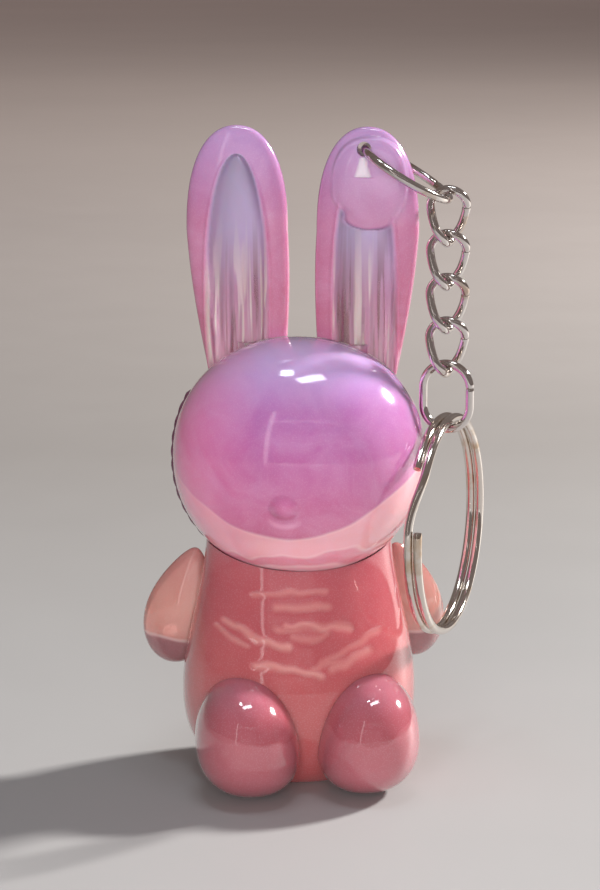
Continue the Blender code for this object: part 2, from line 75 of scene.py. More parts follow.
# ears
EAR_Y = 2.6 * MM
EAR_BASE_Z = 44.0 * MM
EAR_WIDE_Z = 61.0 * MM
EAR_TOP_Z = 72.6 * MM
EAR_HALF_WIDTH = 5.7 * MM
EAR_BASE_HALF_WIDTH = 4.2 * MM
EAR_HALF_THICK = 1.8 * MM
EAR_X = 7.3 * MM
EAR_TIP_RISE = 2.4                # exponents of the ear's rounded tip
EAR_TIP_ROUND = 2.2
EAR_SQUARENESS = 0.8              # 1 is an oval section, less is squarer
EAR_SOFT_EDGE = 0.06 * MM
EAR_BASE_X = 6.2 * MM
SCOOP_HALF_WIDTH = 3.45 * MM
SCOOP_DEPTH = 1.7 * MM
FLUTE_PITCH = 1.05 * MM
FLUTE_DEPTH = 0.16 * MM
LIP_HEIGHT = 0.16 * MM
SCOOP_Z = 53.0 * MM
SCOOP_REACH = 16.6 * MM
EAR_PEG_RADIUS = 1.1 * MM
EAR_PEG_PLACE = (6.3 * MM, 2.8 * MM)
EAR_PEG_DEPTH = 0.5 * MM
EAR_PEG_LENGTH = 4.9 * MM
BOSS_CENTRE = np.array((7.6, 2.05, 66.5)) * MM
BOSS_HALF = np.array((4.3, 1.55, 5.2)) * MM
BORE_RADIUS = 0.8 * MM
BORE = Vector((7.05, 2.45, 70.3)) * MM
DRIP_DROP = 0.9 * MM              # the groove below the bore: from the bore to its top
DRIP_LENGTH = 2.2 * MM
DRIP_TOP_HALF = 0.35 * MM
DRIP_FLARE = 0.75 * MM
DRIP_SHIFT = 0.1 * MM
DRIP_DEPTH = 0.28 * MM
# the groove depth at which its painted reflection is full
DRIP_REFLECTION_DEPTH = 0.2 * MM

# torso and limbs
TORSO_HALF_WIDTH = 13.2 * MM
TORSO_TOP_HALF_WIDTH = 10.4 * MM
TORSO_WIDE_Z = 9.5 * MM
TORSO_TOP_Z = 28.0 * MM
TORSO_BOTTOM_REACH = 11.1 * MM
TORSO_FULLNESS = 2.4
TORSO_DEPTH = 0.84
TORSO_TOP_DEPTH = 0.68
TORSO_WALL = 1.4 * MM
FIT_GAP = 0.3 * MM
SEAM_GAP = 0.03 * MM
CUT_REACH = 60 * MM               # half size of the boxes that split a body in two
LIMB_GAP = 0.05 * MM
STEM_HOLE = 2.5 * MM
ARM_CENTRE = Vector((13.0, 3.9, 18.2)) * MM
ARM_HALF = Vector((3.9, 2.2, 7.0)) * MM
ARM_LEAN = math.radians(15)
ARM_YAW = math.radians(20)
ARM_NARROW = 0.32                 # how much slimmer the arm gets towards its top
ARM_ROUND = 0.12
FOOT_CENTRE = Vector((6.75, -8.9, 6.5)) * MM
FOOT_HALF = Vector((5.7, 7.6, 6.6)) * MM
FOOT_SPLAY = 0.065
FOOT_NARROW = 0.13
FOOT_FULLNESS = 2.2

# folds of the torso's front wall, in mm
FOLD_SEED = 11
FOLD_COUNT = 11
FOLD_HEIGHTS = (14, 22)
FOLD_STARTS = (-10, 5)
FOLD_LENGTHS = (3, 8)
FOLD_WIDTHS = (0.3, 0.6)
FOLD_DIP = 0.05                # slope per mm from the middle: the folds dip towards it
FOLD_STRAY = 0.2
FOLD_RISE = 0.22 * MM          # how far a fold stands off the wall

# wire
WIRE = 0.95 * MM
LINK_PLAY = 0.15 * MM
STEP = WIRE + LINK_PLAY
HANGER_RADIUS = 5.35 * MM
HANGER_DROP = math.radians(31)
LINK_LONG = 5.95 * MM
LINK_WIDE = 4.05 * MM
LINK_TWIST = math.radians(45)
LINKS = 4
END_LONG = 7.4 * MM
END_WIDE = 5.4 * MM
RING_YAW = math.radians(78)
RING_WIRE = 1.0 * MM
RING_RADIUS = 12.0 * MM
RING_COIL_GAP = 0.08 * MM
RING_PLAY = 0.2 * MM
JOGGLE_ANGLE = math.radians(205)
JOGGLE_SPAN = math.radians(34)
WIRE_CUT = 0.06 * MM          # the hairline where a link's wire ends meet
LINK_CUT = 0.12               # where it lies, as a share of the way round
END_CUT = 0.1
HANGER_CUT = math.radians(128)

# camera
CAMERA_TARGET = Vector((0, 0, 37.3)) * MM
CAMERA_DISTANCE = 300 * MM
CAMERA_AZIMUTH = math.radians(-6)
CAMERA_ELEVATION = math.radians(12)
CAMERA_LENS = 108.7
CAMERA_SHIFT = 0.0011

# floor
FLOOR_HALF = 14.0

turned_head = Matrix.Rotation(HEAD_TURN, 4, "Z")


# --- camera, light and floor ---------------------------------------------------------------

def make_camera():
    a, e = CAMERA_AZIMUTH, CAMERA_ELEVATION
    back = Vector((math.sin(a) * math.cos(e), -math.cos(a) * math.cos(e), math.sin(e)))
    camera = bpy.data.objects.new("camera", bpy.data.cameras.new("camera"))
    bpy.context.scene.collection.objects.link(camera)
    camera.location = CAMERA_TARGET + back * CAMERA_DISTANCE
    camera.rotation_euler = back.to_track_quat("Z", "Y").to_euler()
    camera.data.lens = CAMERA_LENS
    camera.data.sensor_width = CAMERA_SENSOR
    camera.data.shift_x = CAMERA_SHIFT
    camera.data.clip_start = 0.01
    bpy.context.scene.camera = camera


def area_light(name, place, aim, size, power, colour=(1, 1, 1)):
    light = bpy.data.lights.new(name, "AREA")
    light.shape = "RECTANGLE"
    light.size, light.size_y = size
    light.energy = power
    light.color = colour
    obj = bpy.data.objects.new(name, light)
    bpy.context.scene.collection.objects.link(obj)
    obj.location = place
    obj.rotation_euler = (Vector(place) - Vector(aim)).to_track_quat("Z", "Y").to_euler()
    return obj


def make_lights():
    middle = (0, 0, 35 * MM)
    area_light("key", (0.68, 0.26, 0.45), middle, (0.09, 0.09), 14.0, (1, 0.96, 0.92))
    area_light("overhead_pane", (0.02, -0.05, 0.42), middle, (0.12, 0.05), 0.22, (0.86, 0.92, 1))
    area_light("overhead_corner", (-0.06, 0.01, 0.42), middle, (0.05, 0.04), 0.1, (0.8, 0.95, 1))
    area_light("tall_window", (-0.34, -0.52, 0.25), middle, (0.035, 0.55), 0.1, (1, 0.97, 0.95))
    area_light("window_bar", (-0.05, -0.47, 0.36), middle, (0.5, 0.012), 0.025, (1, 0.96, 0.95))
    fill = area_light("fill", (-0.10, -0.70, 0.16), middle, (0.5, 0.3), 4.1, (1, 0.98, 0.97))
    fill.visible_glossy = False
    world = bpy.data.worlds.new("room")
    world.use_nodes = True
    world.node_tree.nodes["Background"].inputs["Color"].default_value = (0.19, 0.16, 0.152, 1)
    world.node_tree.nodes["Background"].inputs["Strength"].default_value = 1.0
    bpy.context.scene.world = world
    bpy.context.scene.view_settings.view_transform = "Standard"


def make_floor():
    """A large pale floor, with the lamps' falloff painted into its colour."""
    bm = bmesh.new()
    bmesh.ops.create_grid(bm, x_segments=8, y_segments=8, size=FLOOR_HALF)
    mesh = bpy.data.meshes.new("floor")
    bm.to_mesh(mesh)
    bm.free()
    floor = add_object("floor", mesh)
    floor.data.materials.append(floor_material())


# --- materials -----------------------------------------------------------------------------

def srgb(red, green, blue):
    """Linear colour for a colour given in 0 to 255 display values."""
    def linear(value):
        value /= 255
        return value / 12.92 if value <= 0.04045 else ((value + 0.055) / 1.055) ** 2.4
    return (linear(red), linear(green), linear(blue), 1.0)


class Surface:
    """A material whose nodes are added one call at a time."""

    def __init__(self, name):
        self.material = bpy.data.materials.new(name)
        self.material.use_nodes = True
        self.tree = self.material.node_tree
        self.shader = self.tree.nodes["Principled BSDF"]

    def add(self, kind, inputs=(), **settings):
        node = self.tree.nodes.new("ShaderNode" + kind)
        for key, value in settings.items():
            setattr(node, key, value)
        for key, value in dict(inputs).items():
            self.put(node.inputs[key], value)
        return node

    def put(self, socket, value):
        if isinstance(value, bpy.types.NodeSocket):
            self.tree.links.new(value, socket)
        else:
            socket.default_value = value

    def set(self, **inputs):
        for key, value in inputs.items():
            self.put(self.shader.inputs[key.replace("_", " ")], value)

    def place(self):
        return self.add("TexCoord").outputs["Object"]

    def noise(self, scale, detail=3.0, roughness=0.5, distortion=0.0, place=None):
        node = self.add("TexNoise", {"Scale": scale, "Detail": detail, "Roughness": roughness,
                                     "Distortion": distortion, "Vector": place or self.place()})
        return node.outputs["Fac"]

    def remap(self, value, low, high, from_low=0.0, from_high=1.0):
        node = self.add("MapRange", {"Value": value, "From Min": from_low, "From Max": from_high,
                                     "To Min": low, "To Max": high})
        return node.outputs["Result"]

    def ramp(self, value, stops):
        node = self.add("ValToRGB", {"Fac": value})
        points = node.color_ramp.elements
        while len(points) < len(stops):
            points.new(0.5)
        for point, (place, colour) in zip(points, stops):
            point.position = place
            point.color = colour
        return node.outputs["Color"]

    def mix(self, share, first, second, blend="MIX"):
        node = self.add("Mix", data_type="RGBA", blend_type=blend)
        self.put(node.inputs["Factor"], share)
        self.put(node.inputs[6], first)
        self.put(node.inputs[7], second)
        return node.outputs[2]

    def bump(self, height, strength, distance):
        node = self.add("Bump", {"Height": height, "Strength": strength, "Distance": distance})
        return node.outputs["Normal"]

    def heights(self, stops):
        """A colour for each height, from (height in mm, colour) pairs."""
        low, high = stops[0][0] * MM, stops[-1][0] * MM
        z = self.add("SeparateXYZ", {"Vector": self.place()}).outputs["Z"]
        share = self.remap(z, 0.0, 1.0, low, high)
        return self.ramp(share, [((z_mm * MM - low) / (high - low), colour)
                                 for z_mm, colour in stops])

    def streaks(self, stops):
        """The channel's colour by height, with long painted reflections in its lower half: pale
        highlight lines and dark brown ones.
        """
        stretched = self.add("Mapping", {"Vector": self.place(), "Scale": (1.0, 1.0, 0.05)})
        grain = self.noise(900.0, 2.0, 0.5, 0.3, stretched.outputs["Vector"])
        z = self.add("SeparateXYZ", {"Vector": self.place()}).outputs["Z"]
        low = self.remap(z, 0.95, 0.0, 52 * MM, 63 * MM)
        # painted reflections: pale highlight lines and dark brown lines down the lower half of the
        # channel
        pale = self.math("MULTIPLY", self.remap(grain, 0.0, 1.0, 0.56, 0.61), low)
        dark_reflection = self.math("MULTIPLY", self.remap(grain, 1.0, 0.0, 0.36, 0.43), low)
        colour = self.mix(dark_reflection, self.heights(stops), srgb(138, 98, 100))
        return self.mix(pale, colour, srgb(255, 246, 238))

    def below(self, level, bend, wobble):
        """1 below a wavy level in mm that bends up to the sides (per mm squared), and its edge: the
        masks of a painted light band and of its painted highlight line.
        """
        axes = self.add("SeparateXYZ", {"Vector": self.place()})
        x = self.math("MULTIPLY", axes.outputs["X"], 1000.0)
        z = self.math("MULTIPLY", axes.outputs["Z"], 1000.0)
        edge = self.math("MULTIPLY_ADD", self.math("MULTIPLY", x, x), bend, level)
        wave = self.remap(self.noise(190.0, 1.0), -wobble, wobble)
        height = self.math("SUBTRACT", z, self.math("ADD", edge, wave))
        line = self.remap(self.math("ABSOLUTE", height), 1.0, 0.0, 0.05, 0.3)
        return self.remap(height, 1.0, 0.0, -0.12, 0.12), line

    def sides(self, reach, top):
        """1 where the wall is seen edge on, beyond reach from the middle plane and below top, in mm:
        the mask of a painted sheen.
        """
        axes = self.add("SeparateXYZ", {"Vector": self.place()})
        x = self.math("ABSOLUTE", axes.outputs["X"])
        wave = self.remap(self.noise(160.0, 1.0), -0.8 * MM, 0.8 * MM)
        outer = self.remap(self.math("ADD", x, wave), 0.0, 1.0, (reach - 0.2) * MM, (reach + 0.2) * MM)
        under = self.remap(axes.outputs["Z"], 1.0, 0.0, (top - 1.5) * MM, top * MM)
        return self.math("MULTIPLY", outer, under)

    def math(self, operation, *values):
        node = self.add("Math", operation=operation)
        for socket, value in zip(node.inputs, values):
            self.put(socket, value)
        return node.outputs[0]


def floor_material():
    surface = Surface("floor_painted_falloff")
    y = surface.add("SeparateXYZ", {"Vector": surface.place()}).outputs["Y"]
    share = surface.remap(y, 0.0, 1.0, -0.1, 2.0)
    # painted light falloff: darkest a little behind the object, paler towards the camera and far
    # behind
    pale = surface.ramp(share, [(0.0, srgb(174, 174, 175)), (0.07, srgb(158, 158, 158)),
                                (0.13, srgb(146, 143, 141)), (0.29, srgb(170, 163, 160)),
                                (0.52, srgb(220, 208, 202)), (1.0, srgb(246, 230, 224))])
    cloud = surface.remap(surface.noise(9.0), 0.96, 1.04)
    tone = surface.add("CombineColor", {"Red": cloud, "Green": cloud, "Blue": cloud})
    surface.set(Base_Color=surface.mix(1.0, pale, tone.outputs["Color"], "MULTIPLY"),
                Roughness=surface.remap(surface.noise(60.0), 0.5, 0.65))
    return surface.material


def pearl_plastic(name, stops, scatter=0.5, clear=0.1, radius=(1.0, 0.35, 0.45), depth=2.0,
                  pearl=None, roughness=(0.07, 0.13), clear_attribute=None, clear_stops=None,
                  painted_light_zones=(), sides=None, pale=None, painted_left_glow=None,
                  coat_roughness=0.05):
    """Polished translucent plastic with a mica cloud in it and a few rubbed places.

    stops give its colour by height. Each zone is (level, bend, wobble, colour, strength of its edge
    line): a band of painted light below a level, floor reflection on the head and feet and shade on
    the arms, with a painted highlight line along its edge; sides is (reach, top, colour), a painted
    sheen on the wall seen edge on; pale is the colour of the painted highlights that the mesh's "pale"
    attribute marks;
    the left glow is the colour of painted light shining through the left side.
    """
    surface = Surface(name)
    colour = surface.heights(stops)
    # painted light: each zone paints a band below a level, floor reflection on the head and feet and
    # shade on the arms, with a painted highlight line along its edge
    for level, bend, wobble, tone, painted_edge_highlight in painted_light_zones:
        under, line = surface.below(level, bend, wobble)
        colour = surface.mix(under, colour, tone)
        colour = surface.mix(surface.math("MULTIPLY", line, painted_edge_highlight), colour, srgb(255, 226, 224))
    if painted_left_glow:
        # painted light: the left side turns pinker and paler, as if light from the key lamp shone
        # through the plastic to the far side
        x = surface.add("SeparateXYZ", {"Vector": surface.place()}).outputs["X"]
        colour = surface.mix(surface.remap(x, 0.75, 0.0, -13.5 * MM, -3 * MM), colour, painted_left_glow)
    if sides:
        # painted sheen on the wall where it is seen edge on
        colour = surface.mix(surface.sides(*sides[:2]), colour, sides[2])
    if pale:
        # painted light: the places the "pale" attribute marks turn toward the pale colour
        lines = surface.add("Attribute", attribute_name="pale").outputs["Fac"]
        colour = surface.mix(surface.remap(lines, 0.0, 0.85, 0.1, 0.95), colour, pale)
    cloud = surface.noise(160.0, 4.0, 0.6, 1.2)
    colour = surface.mix(surface.remap(cloud, 0.0, 0.22, 0.35, 0.75), colour,
                         pearl or srgb(232, 196, 232))
    # mica flakes as pale specks: partly the flakes' own colour, partly painted glints
    flakes = surface.add("TexVoronoi", {"Vector": surface.place(), "Scale": 5200.0})
    painted_flake_glint = surface.remap(flakes.outputs["Distance"], 0.10, 0.0, 0.0, 0.45)
    colour = surface.mix(painted_flake_glint, colour, srgb(250, 228, 244))
    patchy = surface.noise(700.0, 5.0, 0.65, 0.6)
    surface.set(Base_Color=colour,
                Roughness=surface.remap(patchy, roughness[0], roughness[1], 0.35, 0.7),
                IOR=1.55,
                Subsurface_Weight=scatter,
                Subsurface_Scale=depth * MM,
                Subsurface_Radius=radius,
                Coat_Weight=1.0,
                Coat_Roughness=coat_roughness,
                Coat_IOR=1.5,
                Normal=surface.bump(surface.noise(420.0, 2.0), 0.25, 0.05 * MM))
    if clear_attribute:
        amount = surface.add("Attribute", attribute_name=clear_attribute).outputs["Fac"]
        surface.set(Transmission_Weight=surface.remap(amount, clear, 0.72),
                    Base_Color=surface.mix(amount, colour, surface.streaks(clear_stops)))
    else:
        surface.set(Transmission_Weight=clear)
    return surface.material


def bead_material():
    surface = Surface("dark_beads")
    cloud = surface.noise(900.0, 3.0)
    surface.set(Base_Color=surface.mix(cloud, srgb(70, 34, 52), srgb(128, 78, 104)),
                Roughness=surface.remap(cloud, 0.12, 0.3),
                Coat_Weight=0.6,
                Coat_Roughness=0.05,
                Transmission_Weight=0.1,
                Normal=surface.bump(surface.noise(2500.0), 0.2, 0.03 * MM))
    return surface.material


def pin_material():
    surface = Surface("pin_plastic_moulded")
    cloud = surface.noise(500.0, 3.0)
    surface.set(Base_Color=surface.mix(cloud, srgb(206, 186, 192), srgb(226, 214, 216)),
                Roughness=surface.remap(cloud, 0.35, 0.5),
                Subsurface_Weight=0.2,
                Subsurface_Scale=1.0 * MM,
                Normal=surface.bump(surface.noise(1800.0), 0.2, 0.03 * MM))
    return surface.material


def chrome_material(name, tint, warm_tint):
    """Bright plating over drawn wire: fine scuffs, and warmer, darker patches in places."""
    surface = Surface(name)
    scuffs = surface.noise(3000.0, 6.0, 0.7, 0.8)
    patches = surface.noise(380.0, 3.0, 0.55, 0.4)
    patchy = surface.remap(patches, 0.0, 1.0, 0.52, 0.72)
    surface.set(Base_Color=surface.mix(patchy, tint, warm_tint),
                Metallic=1.0,
                Roughness=surface.remap(scuffs, 0.06, 0.2, 0.4, 0.85),
                Normal=surface.bump(surface.noise(1500.0, 4.0), 0.12, 0.02 * MM))
    return surface.material


# --- shapes --------------------------------------------------------------------------------

def add_object(name, mesh):
    obj = bpy.data.objects.new(name, mesh)
    bpy.context.scene.collection.objects.link(obj)
    return obj


def skin(name, rows, poles=(None, None)):
    """A surface through rings of points, closed by a pole point at either end."""
    rows = np.asarray(rows)
    count, around = rows.shape[:2]
    verts = [tuple(point) for row in rows for point in row]
    faces = [(i * around + j, i * around + (j + 1) % around,
              (i + 1) * around + (j + 1) % around, (i + 1) * around + j)
             for i in range(count - 1) for j in range(around)]
    for pole, i in zip(poles, (0, count - 1)):
        if pole is not None:
            verts.append(tuple(pole))
            faces += [(len(verts) - 1, i * around + j, i * around + (j + 1) % around)
                      for j in range(around)]
    mesh = bpy.data.meshes.new(name)
    mesh.from_pydata(verts, [], faces)
    bm = bmesh.new()
    bm.from_mesh(mesh)
    bmesh.ops.recalc_face_normals(bm, faces=bm.faces)
    bm.to_mesh(mesh)
    bm.free()
    return add_object(name, mesh)


def bake(obj):
    """Put what the modifiers make into the object's own mesh."""
    graph = bpy.context.evaluated_depsgraph_get()
    mesh = bpy.data.meshes.new_from_object(obj.evaluated_get(graph))
    obj.modifiers.clear()
    obj.data = mesh


def combine(target, other, operation, solver="EXACT"):
    modifier = target.modifiers.new(operation.lower(), "BOOLEAN")
    modifier.operation = operation
    modifier.solver = solver
    modifier.object = other
    bake(target)
    bpy.data.objects.remove(other)


def rod(start, end, radius, sides=48):
    start, end = Vector(start), Vector(end)
    along = end - start
    bm = bmesh.new()
    bmesh.ops.create_cone(bm, cap_ends=True, segments=sides, radius1=radius, radius2=radius,
                          depth=along.length)
    turn = along.to_track_quat("Z", "Y").to_matrix().to_4x4()
    bmesh.ops.transform(bm, matrix=Matrix.Translation((start + end) / 2) @ turn, verts=bm.verts)
    mesh = bpy.data.meshes.new("rod")
    bm.to_mesh(mesh)
    bm.free()
    return add_object("rod", mesh)


def rounded(name, half, centre=(0, 0, 0), fullness=2.0, segments=96, rings=64):
    """A sphere stretched to three half sizes; fullness above 2 makes it squarer."""
    bm = bmesh.new()
    bmesh.ops.create_uvsphere(bm, u_segments=segments, v_segments=rings, radius=1)
    for vert in bm.verts:
        size = sum(abs(part) ** fullness for part in vert.co) ** (1 / fullness)
        vert.co = Vector(part / size * reach for part, reach in zip(vert.co, half)) + Vector(centre)
    mesh = bpy.data.meshes.new(name)
    bm.to_mesh(mesh)
    bm.free()
    return add_object(name, mesh)


def finish_piece(obj, body, nodes, material, turn=None, soften=0.0, sharp=50):
    """Soften its edges, give it its material and let it stand for its CAD nodes."""
    if soften:
        bevel = obj.modifiers.new("soften", "BEVEL")
        bevel.width = soften
        bevel.segments = 2
        bevel.limit_method = "ANGLE"
        bevel.angle_limit = math.radians(sharp)
        bake(obj)
    obj.data.materials.clear()
    obj.data.materials.append(material)
    obj.data.shade_smooth()
    obj.data.set_sharp_from_angle(angle=SHADE_SHARP)
    if turn is not None:
        obj.matrix_world = turn
    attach(obj, body)
    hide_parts(*nodes)
    return obj


# --- head ----------------------------------------------------------------------------------

def head_ring(y, half, side, around=144):
    """Points around the head's surface at a distance y from its middle plane.

    Near the seam the shells close up to a hairline, except where the beads stand between them.
    """
    angles = np.linspace(0, 2 * math.pi, around, endpoint=False)
    c, s = np.cos(angles), np.sin(angles)
    close = SEAM_GAP + (BAND_SLOT - SEAM_GAP) * bead_share(angles) + side * seam_bow(angles)
    y = close + (y - BAND_SLOT) * (half[1] - close) / (half[1] - BAND_SLOT)
    left = np.maximum(1 - np.abs(y / half[1]) ** HEAD_FULLNESS, 0) ** (1 / HEAD_FULLNESS)
    reach = left / (np.abs(c) ** HEAD_FULLNESS + np.abs(s) ** HEAD_FULLNESS) ** (1 / HEAD_FULLNESS)
    x, z = half[0] * c * reach, half[2] * s * reach
    if side < 0 and half[1] > HEAD_HALF[1] - TINY:
        across = np.hypot(x / NOSE_HALF[0], (z + NOSE_DROP) / NOSE_HALF[2])
        y = y + NOSE_HALF[1] * np.maximum(1 - across ** 2, 0) ** 1.15
    drop = np.clip((HEAD_ROUND_Z - HEAD_CENTRE[2] - z) / HEAD_ROUND_SPAN, 0, 1)
    y = y * (1 + (half[0] / half[1] - 1) * drop * drop * (3 - 2 * drop))
    return np.stack((x, side * y, z), axis=1) + HEAD_CENTRE


def away_from(angles, middle):
    return np.abs((angles - middle + math.pi) % (2 * math.pi) - math.pi)


def bead_share(angles):
    """1 where the beads stand proud of the seam, falling to 0 away from there."""
    away = away_from(angles, BEADED_SIDE)
    return np.clip((BEADED_REACH - away) / math.radians(12), 0, 1)


def seam_bow(angles):
    """How far along y the seam lies at an angle round it: forwards on the beaded side."""
    away = np.clip(away_from(angles, BEADED_SIDE + math.radians(18)) / math.radians(80), 0, 1)
    return -SEAM_BOW * (0.5 + 0.5 * np.cos(math.pi * away))


def head_shell(name, side):
    """Half of the hollow head: side is -1 for the face, 1 for the back."""
    def rings(half, steps=90):
        last = math.acos(BAND_SLOT / half[1])
        return [head_ring(half[1] * math.cos(last * i / steps), half, side)
                for i in range(1, steps + 1)]
    inner_half = HEAD_HALF - HEAD_WALL
    rows = rings(HEAD_HALF) + rings(inner_half)[::-1]
    poles = [HEAD_CENTRE + np.array((0, side * half[1], 0)) for half in (HEAD_HALF, inner_half)]
    return skin(name, rows, poles)


def nose_painted_caustic(point):
    """0 to 1: a painted caustic, the pale crescent that light through the nose would throw below it.
    """
    x, z = point.x, point.z - HEAD_CENTRE[2] + NOSE_DROP
    if point.y > 0 or z > 0:
        return 0.0
    away = (math.hypot(x, z * 1.15) - 2.5 * MM) / (0.4 * MM)
    side = x / (1.8 * MM)
    return 0.6 * math.exp(-away ** 2 - side ** 4)


def make_head(material):
    front = head_shell("head_face", -1)
    back = head_shell("head_rear", 1)
    floor = HEAD_CENTRE[2] - HEAD_HALF[2]
    for shell in (front, back):
        combine(shell, rod((0, 0, floor - 3 * MM), (0, 0, floor + 3 * MM), STEM_HOLE), "DIFFERENCE")
    for side in (-1, 1):
        place = Vector((side * EAR_PEG_PLACE[0], EAR_PEG_PLACE[1], HEAD_CENTRE[2]))
        combine(back, rod(place, place + Vector((0, 0, 25 * MM)), EAR_PEG_RADIUS + FIT_GAP),
                "DIFFERENCE")
    # paint the nose's caustic crescent onto the face
    mark_painted_light(front, nose_painted_caustic)
    for piece, node in ((front, "head_front_shell"), (back, "head_back_shell")):
        finish_piece(piece, "head", [node], material, turned_head,
                     HEAD_SOFT_EDGE)


def make_seam_beads(material):
    """Small beads on a thread, in the slot between the head's shells."""
    bm = bmesh.new()
    turns = 2 * math.pi - 2 * BAND_OPEN
    line = []
    for i in range(BEADS * 4 + 1):
        angle = -math.pi / 2 + BAND_OPEN + turns * i / (BEADS * 4)
        c, s = math.cos(angle), math.sin(angle)
        reach = (abs(c) ** HEAD_FULLNESS + abs(s) ** HEAD_FULLNESS) ** (-1 / HEAD_FULLNESS)
        y = float(seam_bow(angle))
        reach *= (1 - abs(y / HEAD_HALF[1]) ** HEAD_FULLNESS) ** (1 / HEAD_FULLNESS)
        line.append(Vector(((HEAD_HALF[0] - BAND_SINK) * c * reach, y,
                            HEAD_CENTRE[2] + (HEAD_HALF[2] - BAND_SINK) * s * reach)))
    rows = []
    sides = 16
    for i, point in enumerate(line):
        along = (line[min(i + 1, len(line) - 1)] - line[max(i - 1, 0)]).normalized()
        across = along.cross(Vector((0, 1, 0)))
        proud = float(bead_share(math.atan2(point.z - HEAD_CENTRE[2], point.x)))
        swell = 0.78 + 0.22 * math.sin(math.pi * (i % 4) / 4)
        swell *= 0.35 + 0.65 * proud
        point = point - (point - Vector(HEAD_CENTRE)).normalized() * 0.7 * MM * (1 - proud)
        rows.append([bm.verts.new(point + BEAD_RADIUS * swell * (
            across * math.cos(a) + Vector((0, 1, 0)) * math.sin(a)))
            for a in (2 * math.pi * j / sides for j in range(sides))])
    for low, high in zip(rows, rows[1:]):
        for j in range(sides):
            bm.faces.new((low[j], low[(j + 1) % sides], high[(j + 1) % sides], high[j]))
    bm.faces.new(rows[0])
    bm.faces.new(rows[-1])
    bmesh.ops.recalc_face_normals(bm, faces=bm.faces)
    mesh = bpy.data.meshes.new("seam_beads")
    bm.to_mesh(mesh)
    bm.free()
    band = add_object("seam_beads", mesh)
    finish_piece(band, "head", ["head_seam_band"], material, turned_head)


# --- ears ----------------------------------------------------------------------------------

def soft_max(a, b, width):
    """The larger of two values, with a rounded change from one to the other."""
    return 0.5 * (a + b + np.sqrt((a - b) ** 2 + width ** 2))


def ear_section(height):
    """Centre x, half width and half thickness of an ear at a height."""
    rise = (height - EAR_BASE_Z) / (EAR_WIDE_Z - EAR_BASE_Z)
    centre = EAR_BASE_X + (EAR_X - EAR_BASE_X) * min(rise, 1)
    if height < EAR_WIDE_Z:
        grow = math.sin(rise * math.pi / 2)
        half = EAR_BASE_HALF_WIDTH + (EAR_HALF_WIDTH - EAR_BASE_HALF_WIDTH) * grow
    else:
        up = (height - EAR_WIDE_Z) / (EAR_TOP_Z - EAR_WIDE_Z)
        half = EAR_HALF_WIDTH * max(1 - up ** EAR_TIP_RISE, 0) ** (1 / EAR_TIP_ROUND)
    return centre, half, EAR_HALF_THICK * (half / EAR_HALF_WIDTH) ** EAR_SQUARENESS


def scoop_across(x, z, side):
    """How far across the channel a place is: 0 on its middle line, 1 at its pointed edge."""
    rise = (z - SCOOP_Z) / SCOOP_REACH
    half = SCOOP_HALF_WIDTH * np.maximum(1 - np.abs(rise) ** 2.3, 0) ** 0.48
    return np.abs(x - side * (EAR_X - 0.15 * MM)) / np.maximum(half, TINY), half


def scoop_surface(x, z, side):
    """How far back the channel in the ear's front reaches; it is fluted in its lower half."""
    across, half = scoop_across(x, z, side)
    inside = np.clip(across, 0, 1)
    deep = SCOOP_DEPTH * (half / SCOOP_HALF_WIDTH) ** 0.55 * (1 - inside ** 2.2) ** 0.9
    low = min(max((60 * MM - z) / (8 * MM), 0), 1)
    flute = FLUTE_DEPTH * low * (1 - inside ** 4) * np.cos(2 * math.pi * x / FLUTE_PITCH + 40 * z)
    return EAR_Y - EAR_HALF_THICK + deep + flute - 0.4 * MM * (across >= 1)


def lip(share):
    """A fine raised line just outside an outline that share passes 1 at."""
    return LIP_HEIGHT * np.exp(-((share - 1.08) / 0.045) ** 2)


def boss_share(x, z):
    """0 at the boss's middle and 1 at its outline, which has a waist on the inner side."""
    dx = (x - BOSS_CENTRE[0]) / BOSS_HALF[0]
    dz = (z - BOSS_CENTRE[2]) / BOSS_HALF[2]
    waist = 1 - 0.22 * np.exp(-((dz + 0.62) / 0.16) ** 2) * (dx < 0)
    return (np.abs(dx / waist) ** 2.3 + np.abs(dz) ** 2.3) ** (1 / 2.3)


def drip(x, z):
    """A small flared groove below the bore, where the wire rubs."""
    down = (BORE.z - DRIP_DROP - z) / DRIP_LENGTH
    half = DRIP_TOP_HALF + DRIP_FLARE * max(down, 0)
    inside = np.clip(1 - np.abs(x - BORE.x + DRIP_SHIFT) / half, 0, 1)
    return DRIP_DEPTH * np.minimum(inside * 2, 1) * (0 < down < 1)


def drip_painted_reflection(place):
    """0 to 1: how pale a painted reflection makes the groove below the bore at a place on the ear."""
    return min(drip(place.x, place.z) / DRIP_REFLECTION_DEPTH, 1) * (place.y < EAR_Y)


def boss_surface(x, z):
    """The nearly flat front of the boss, or far behind the ear away from it."""
    share = boss_share(x, z)
    rise = np.maximum(1 - share ** 7, 0) ** 0.5 * (1 - 0.12 * share ** 2)
    return np.where(share < 1, BOSS_CENTRE[1] - BOSS_HALF[1] * rise, 1.0)


